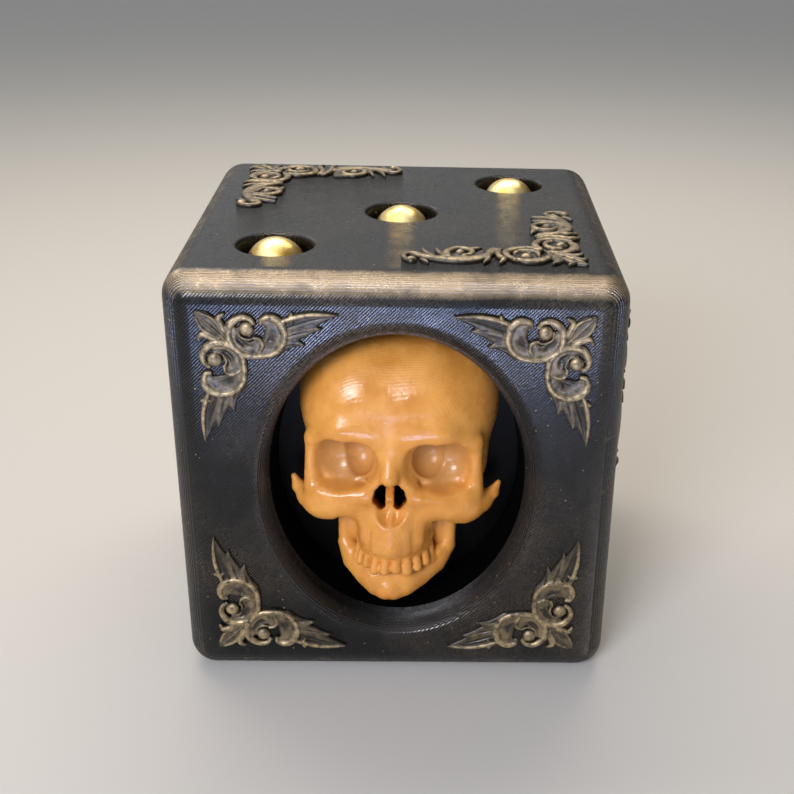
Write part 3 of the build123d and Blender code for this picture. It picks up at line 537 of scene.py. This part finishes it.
def long_motif(pitch):
    """A corner scroll of the top and the right side, with longer arms."""
    c = Clay((0, -0.5, 0), (42.5, 2.0, 42.5), pitch)
    # curled end of the arm and its bead
    c.bead((1.0, 0.9, 0.7, 0.65, 0.6), (6.4, 37.2), (4.2, 35.2), (2.3, 34.8), (1.2, 36.6),
           (1.7, 38.9), wall=0.5)
    c.put(c.egg((2.9, 0.3, 39.1), (1.25, 1.1, 1.25)), 0.1)
    # long S-rib with a ridge
    c.bead((0.7, 1.2, 1.6, 1.8, 1.5, 1.0, 0.7), (3.8, 36.2), (6.4, 37.3), (9.6, 38.1), (13.4, 38.5),
           (16.9, 37.6), (19.2, 35.4), (21.6, 31.8), wall=0.5, crown=0.65)
    c.groove((0.2, 0.35, 0.35, 0.2), (6.6, 36.4), (10.0, 37.2), (13.4, 37.4), (16.6, 36.4), at=1.3)
    # fronds that spring from it
    c.bead((0.65, 0.6, 0.35), (7.4, 36.6), (5.9, 34.0), (5.2, 31.2), wall=0.5)
    c.bead((0.65, 0.6, 0.35), (10.0, 36.8), (8.9, 34.0), (8.2, 31.2), wall=0.5)
    c.bead((0.35, 0.7, 0.35), (4.8, 38.2), (5.5, 39.3), (6.4, 40.6), wall=0.4)
    # round volute over the rib
    c.bead((1.0, 2.0, 1.6), (11.6, 35.6), (13.4, 34.2), (15.2, 35.4), wall=0.25, crown=0.2)
    c.bead((0.9, 0.85, 0.8, 0.75, 0.7, 0.6), (10.8, 36.8), (10.6, 33.4), (13.0, 30.9), (15.8, 32.2),
           (15.9, 35.0), (14.2, 36.4), wall=0.6)
    c.put(c.egg((13.4, 0.2, 34.0), (1.2, 1.2, 1.2)), 0.1)
    c.bead((0.6, 0.85, 0.35), (14.6, 30.8), (16.4, 30.8), (18.2, 30.2), wall=0.4)
    c.bead((0.8, 1.1, 0.5), (17.2, 35.6), (17.8, 33.6), (18.4, 31.8), wall=0.3, crown=0.4)
    # pair of fronds across the arm
    c.bead((0.35, 0.7, 0.7, 0.6, 0.3), (21.0, 31.0), (19.9, 33.2), (19.5, 36.0), (19.4, 38.4),
           (18.5, 40.6), wall=0.7)
    c.bead((0.35, 0.65, 0.7, 0.7, 0.3), (22.6, 31.2), (21.8, 33.8), (21.9, 36.2), (22.8, 38.4),
           (21.9, 40.8), wall=0.7)
    # main volute
    c.bead((1.6, 2.4, 2.6, 1.6), (25.6, 35.6), (27.4, 34.2), (29.6, 34.6), (30.8, 36.2), wall=0.25, crown=0.2)
    c.bead((0.6, 0.85, 0.95, 0.95, 0.9, 0.7), (25.2, 38.6), (23.7, 35.8), (23.7, 32.8), (25.7, 30.9),
           (28.4, 30.3), (31.2, 31.4), wall=0.6)
    c.bead((0.7, 1.2, 1.4, 1.2, 0.9, 0.75), (25.9, 38.4), (27.6, 39.2), (30.2, 38.8), (32.2, 37.0),
           (33.2, 34.9), (33.0, 33.2), wall=0.5, crown=0.65)
    c.bead((0.5, 0.65, 0.7, 0.65, 0.4), (25.4, 34.2), (26.6, 32.8), (28.8, 32.7), (30.4, 34.0),
           (30.6, 36.0), wall=0.7)
    c.put(c.egg((27.8, 0.2, 36.2), (1.5, 1.25, 1.5)), 0.15)
    # fan in the corner
    c.bead((0.6, 1.7, 2.0, 0.7), (34.0, 34.0), (36.0, 36.0), (38.2, 38.2), (40.4, 40.4), wall=0.35, crown=0.4)
    c.bead((0.3, 0.45, 0.2), (34.4, 34.4), (37.4, 37.4), (40.2, 40.2), wall=0.8)
    c.bead((0.5, 1.1, 1.0, 0.4), (33.8, 35.4), (34.4, 37.4), (34.3, 39.2), (33.4, 40.4), wall=0.45, crown=0.5)
    c.bead((0.4, 0.8, 0.8, 0.4), (35.6, 37.0), (37.0, 38.8), (37.8, 40.0), (36.8, 41.0), wall=0.5)
    return c


# Dry-brushed gold lies on what stands up and leaves the ground black: the height
# over the face tells one from the other.
brush_start, brush_full = half + 0.6 * mm, half + 1.25 * mm
brushed, shader, place = begin("black PLA print, dry-brushed gold")
x, y, z = from_middle(brushed, place)
wider = add(brushed, "Math", {0: x, 1: y}, operation="MAXIMUM")
height = add(brushed, "Math", {0: wider, 1: z}, operation="MAXIMUM")
raised = add(brushed, "MapRange", {0: height, 1: brush_start, 2: brush_full, 3: 0.05})
bristles = add(brushed, "TexNoise", {"Vector": place, "Scale": cells(1.43), "Detail": 5, "Roughness": 0.7})
caught = add(brushed, "MapRange", {0: bristles, 1: 0.35, 2: 0.6, 3: 0.05, 4: 1})
golden = add(brushed, "Math", {0: raised, 1: caught}, operation="MULTIPLY")
ground, tarnished = colour("#0d0a07"), colour("#b8a27c")
paint = add(brushed, "Mix", {0: golden, 6: ground, 7: tarnished}, out=2, data_type="RGBA")
metal = add(brushed, "Math", {0: golden, 1: 0.55}, operation="MULTIPLY")
dull = add(brushed, "MapRange", {0: bristles, 3: 0.2, 4: 0.45})
bristle_marks = add(brushed, "Bump", {"Strength": 0.7, "Distance": 0.12 * mm, "Height": bristles})
join(brushed, shader, {"Base Color": paint, "Metallic": metal, "Roughness": dull, "Normal": bristle_marks})

front_pitch, long_pitch = ((0.15, 0.18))       # mm
sunk = 0.1                   # mm that a scroll reaches into its face
motifs = {"front": front_motif(front_pitch), "long": long_motif(long_pitch)}
for motif in motifs.values():
    both_arms = np.minimum(motif.field, motif.field.transpose(2, 1, 0))
    motif.field = np.maximum(both_arms, -(motif.y + sunk))
for name in [name for name in nodes if name.startswith("scroll_")]:
    low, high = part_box(name)
    corner = (low + high) / 2 - Vector((0, 0, half))
    signs = np.sign(corner)
    out = max(range(3), key=lambda axis: abs(corner[axis]))
    across, upwards = [axis for axis in range(3) if axis != out]

    def onto_face(points):
        """From a motif's millimetres to its corner of the face."""
        spots = np.zeros((len(points), 3))
        spots[:, across] = points[:, 0] * mm
        spots[:, out] = half + points[:, 1] * mm
        spots[:, upwards] = points[:, 2] * mm
        return spots * signs + (0, 0, half)

    motif = motifs["front" if name.startswith("scroll_front") else "long"]
    scroll = motif.mesh(name + "_relief", onto_face)
    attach(scroll, "root")
    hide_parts(name)
    scroll.data.materials.append(brushed)

# ------------------------------------------------------------ table, light and camera
# A pale table, three soft lamps and a grey room, which reflections and the camera
# find brighter than the light that it throws on the box.
bpy.ops.object.select_all(action="DESELECT")
bpy.ops.mesh.primitive_plane_add(size=8, location=(0, 0, box_low.z))
table = bpy.context.object
table.name = "table"
pale, shader, place = begin("pale matt table top")
mottle = add(pale, "TexNoise", {"Vector": place, "Scale": cells(3.3), "Detail": 4})
join(pale, shader, {"Roughness": add(pale, "MapRange", {0: mottle, 3: 0.6, 4: 0.8})})
shader.inputs["Base Color"].default_value = colour("#dcdad6")
table.data.materials.append(pale)

room = bpy.data.worlds.new("studio")
bpy.context.scene.world = room
room.use_nodes = True
camera_ray = add(room, "LightPath", out="Is Camera Ray")
glossy_ray = add(room, "LightPath", out="Is Glossy Ray")
seen = add(room, "Math", {0: camera_ray, 1: glossy_ray}, operation="MAXIMUM")
# reflections find the room lighter above and on the left than on the right
way = add(room, "TexCoord", out="Generated")
steep = add(room, "SeparateXYZ", {0: way}, out="Z")
sideways = add(room, "SeparateXYZ", {0: way}, out="X")
overhead = add(room, "MapRange", {0: steep, 1: 0.5, 2: 0.9, 3: 0.6, 4: 2.4})
leftward = add(room, "MapRange", {0: sideways, 1: -0.1, 2: 0.5, 3: 1, 4: 0.15})
reflected = add(room, "Math", {0: overhead, 1: leftward}, operation="MULTIPLY")
shown = add(room, "Mix", {0: glossy_ray, 2: 0.6, 3: reflected}, out=0)
backdrop = room.node_tree.nodes["Background"]
join(room, backdrop, {"Strength": add(room, "Mix", {0: seen, 2: 0.28, 3: shown}, out=0)})
backdrop.inputs["Color"].default_value = colour("#eceff2")


def lamp(name, place, target, size, power, tint, spread=180):
    """A soft rectangular lamp that faces a point, its beam spread over that many degrees."""
    data = bpy.data.lights.new(name, "AREA")
    data.shape = "RECTANGLE"
    data.size, data.size_y = size
    data.energy = power
    data.spread = radians(spread)
    data.color = colour(tint)[:3]
    light = bpy.data.objects.new(name, data)
    light.location = place
    light.rotation_euler = (Vector(target) - Vector(place)).to_track_quat("-Z", "Y").to_euler()
    light.visible_camera = False
    bpy.context.scene.collection.objects.link(light)


lamp("window", (-0.26, -0.64, 0.37), (0, 0, 0.05), (0.32, 0.24), 0.92, "#f6f6ff", spread=80)
lamp("ceiling", (-0.05, 0.3, 0.55), (0, 0, 0.1), (0.7, 0.3), 2.6, "#fff0da")
lamp("low_strip", (-0.1, -0.24, 0.018), (-0.1, -0.05, 0.09), (0.34, 0.012), 0.032, "#b4c8ff", spread=40)

# The camera stands a third of a metre in front, looking down on the top face.
camera_data = bpy.data.cameras.new("camera")
camera_data.lens = 57.563
camera_data.sensor_width = 36
camera_data.shift_x = -0.0832
camera_data.shift_y = 0.0884
camera = bpy.data.objects.new("camera", camera_data)
camera_place = (0.006342, -0.302077, 0.185569)
azimuth, elevation, tilt = radians(1.919), radians(27.153), radians(1.503)
ahead = Vector((sin(azimuth) * cos(elevation), cos(azimuth) * cos(elevation), -sin(elevation)))
right = ahead.cross(Vector((0, 0, 1))).normalized()
up = right.cross(ahead)
right_rolled = cos(tilt) * right + sin(tilt) * up
up_rolled = -sin(tilt) * right + cos(tilt) * up
aim = Matrix((right_rolled, up_rolled, -ahead)).transposed()
camera.matrix_world = Matrix.Translation(camera_place) @ aim.to_4x4()
bpy.context.scene.collection.objects.link(camera)
bpy.context.scene.camera = camera
bpy.context.scene.view_settings.view_transform = "Standard"
